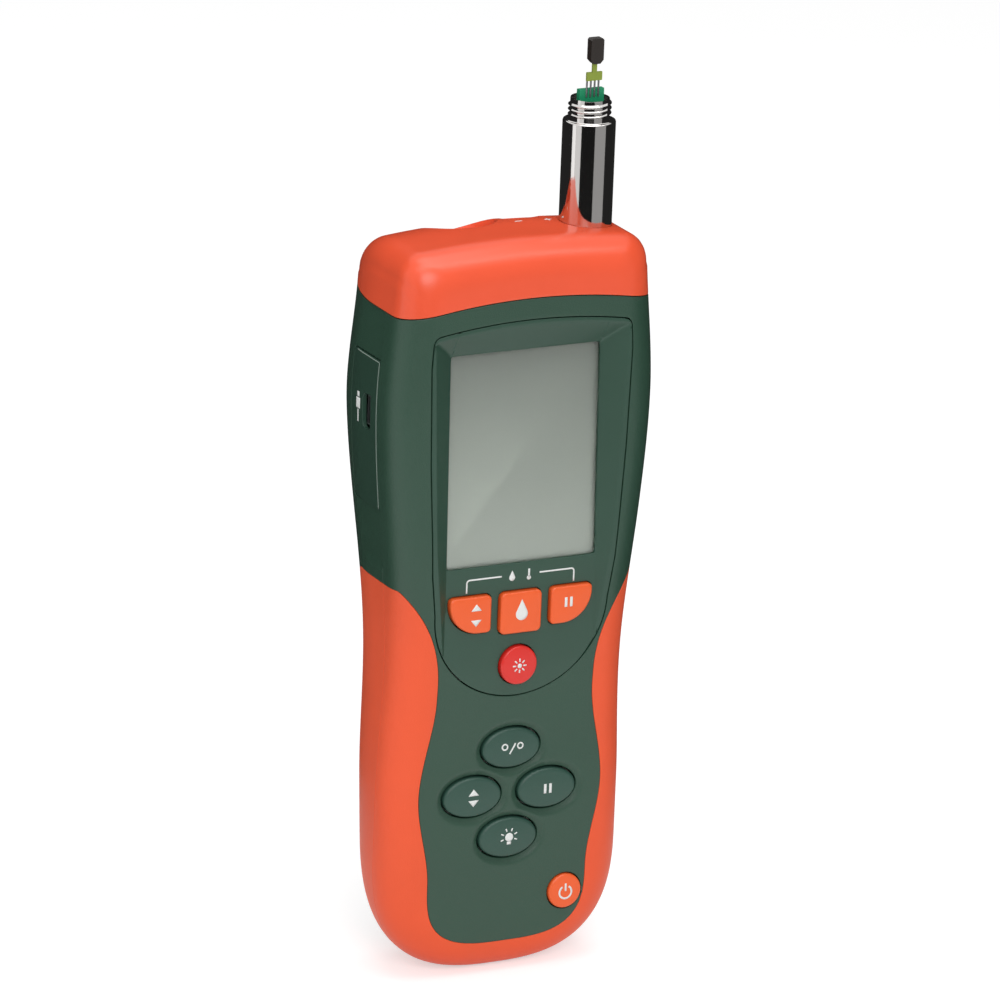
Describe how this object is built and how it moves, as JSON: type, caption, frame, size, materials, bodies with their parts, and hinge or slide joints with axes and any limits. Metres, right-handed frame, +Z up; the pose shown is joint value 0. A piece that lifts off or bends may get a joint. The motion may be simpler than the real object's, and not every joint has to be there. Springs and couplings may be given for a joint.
{
  "type": "digital psychrometer",
  "caption": "Handheld digital psychrometer with a fixed humidity and temperature probe, a display, press keys, an infrared window, sockets and a fold-out rear stand.",
  "frame": {"origin": "centre of the overall bounding box, at its lowest point", "axes": "+Z up along the meter to the probe's tip, the display faces -Y, +X to the right seen from the front"},
  "size_m": [0.0752, 0.0446, 0.2456],
  "materials": {
    "housing_green": "fine-textured dark green moulding",
    "cap_orange": "satin orange moulding",
    "grip_orange": "soft orange over-moulding",
    "bezel_green": "smooth dark green moulding",
    "window_clear": "clear display window",
    "lcd_grey": "switched-off grey display cell",
    "light_guide": "white diffuser",
    "board_green": "solder-masked circuit board",
    "part_black": "black moulded component",
    "mat_grey": "silicone keypad mat",
    "key_orange": "satin orange key",
    "key_red": "satin red key",
    "key_green": "dark green soft key",
    "tube_chrome": "polished chrome-plated tube",
    "plated_steel": "zinc-plated steel",
    "contact_brass": "bare brass",
    "socket_yellow": "yellow connector moulding",
    "sensor_green": "green sensor board",
    "carrier_olive": "olive sensor carrier board",
    "sensor_dark": "dark sensor body",
    "lens_dark": "dark infrared lens",
    "battery_metal": "printed metal jacket"
  },
  "bodies": {
    "meter": {"front_housing": "housing_green", "rear_housing": "housing_green", "top_cap": "cap_orange", "front_grip": "grip_orange", "rear_grip": "grip_orange", "bezel_plate": "bezel_green", "lcd_window": "window_clear", "lcd_cell": "lcd_grey", "backlight_guide": "light_guide", "main_board": "board_green", "board_chips": "part_black", "buzzer": "part_black", "keypad_mat": "mat_grey", "port_panel": "housing_green", "usb_socket": "plated_steel", "port_board": "board_green", "board_header": "part_black", "probe_tube": "tube_chrome", "sensor_holder": "part_black", "sensor_board": "sensor_green", "sensor_leads": "plated_steel", "sensor_carrier": "carrier_olive", "sensor_head": "sensor_dark", "ir_lens": "lens_dark", "ir_sensor": "plated_steel", "laser_module": "contact_brass", "thermocouple_socket": "socket_yellow", "thermocouple_contacts": "contact_brass", "stand_pin": "plated_steel", "battery_door": "housing_green", "battery_door_screw": "plated_steel", "battery": "battery_metal", "battery_clip": "part_black", "tripod_insert": "contact_brass", "housing_screws": "plated_steel", "board_screws": "plated_steel"},
    "probe_max_button": {"probe_max_button": "key_orange"},
    "wet_bulb_button": {"wet_bulb_button": "key_orange"},
    "probe_hold_button": {"probe_hold_button": "key_orange"},
    "laser_button": {"laser_button": "key_red"},
    "unit_button": {"unit_button": "key_green"},
    "max_button": {"max_button": "key_green"},
    "hold_button": {"hold_button": "key_green"},
    "backlight_button": {"backlight_button": "key_green"},
    "power_button": {"power_button": "key_orange"},
    "stand": {"tilt_stand": "housing_green"}
  },
  "joints": [
    {"name": "probe_max_press", "type": "slide", "parent": "meter", "child": "probe_max_button", "axis": [0, 1, 0], "range_m": [0, 0.0008], "stiffness_N_per_m": 1500},
    {"name": "wet_bulb_press", "type": "slide", "parent": "meter", "child": "wet_bulb_button", "axis": [0, 1, 0], "range_m": [0, 0.0008], "stiffness_N_per_m": 1500},
    {"name": "probe_hold_press", "type": "slide", "parent": "meter", "child": "probe_hold_button", "axis": [0, 1, 0], "range_m": [0, 0.0008], "stiffness_N_per_m": 1500},
    {"name": "laser_press", "type": "slide", "parent": "meter", "child": "laser_button", "axis": [0, 1, 0], "range_m": [0, 0.0008], "stiffness_N_per_m": 1500},
    {"name": "unit_press", "type": "slide", "parent": "meter", "child": "unit_button", "axis": [0, 1, 0], "range_m": [0, 0.0008], "stiffness_N_per_m": 1500},
    {"name": "max_press", "type": "slide", "parent": "meter", "child": "max_button", "axis": [0, 1, 0], "range_m": [0, 0.0008], "stiffness_N_per_m": 1500},
    {"name": "hold_press", "type": "slide", "parent": "meter", "child": "hold_button", "axis": [0, 1, 0], "range_m": [0, 0.0008], "stiffness_N_per_m": 1500},
    {"name": "backlight_press", "type": "slide", "parent": "meter", "child": "backlight_button", "axis": [0, 1, 0], "range_m": [0, 0.0008], "stiffness_N_per_m": 1500},
    {"name": "power_press", "type": "slide", "parent": "meter", "child": "power_button", "axis": [0, 1, 0], "range_m": [0, 0.0008], "stiffness_N_per_m": 1500},
    {"name": "stand_hinge", "type": "hinge", "parent": "meter", "child": "stand", "pos_m": [0, 0.0177, 0.14514], "axis": [1, 0, 0], "range_deg": [0, 40]}
  ]
}
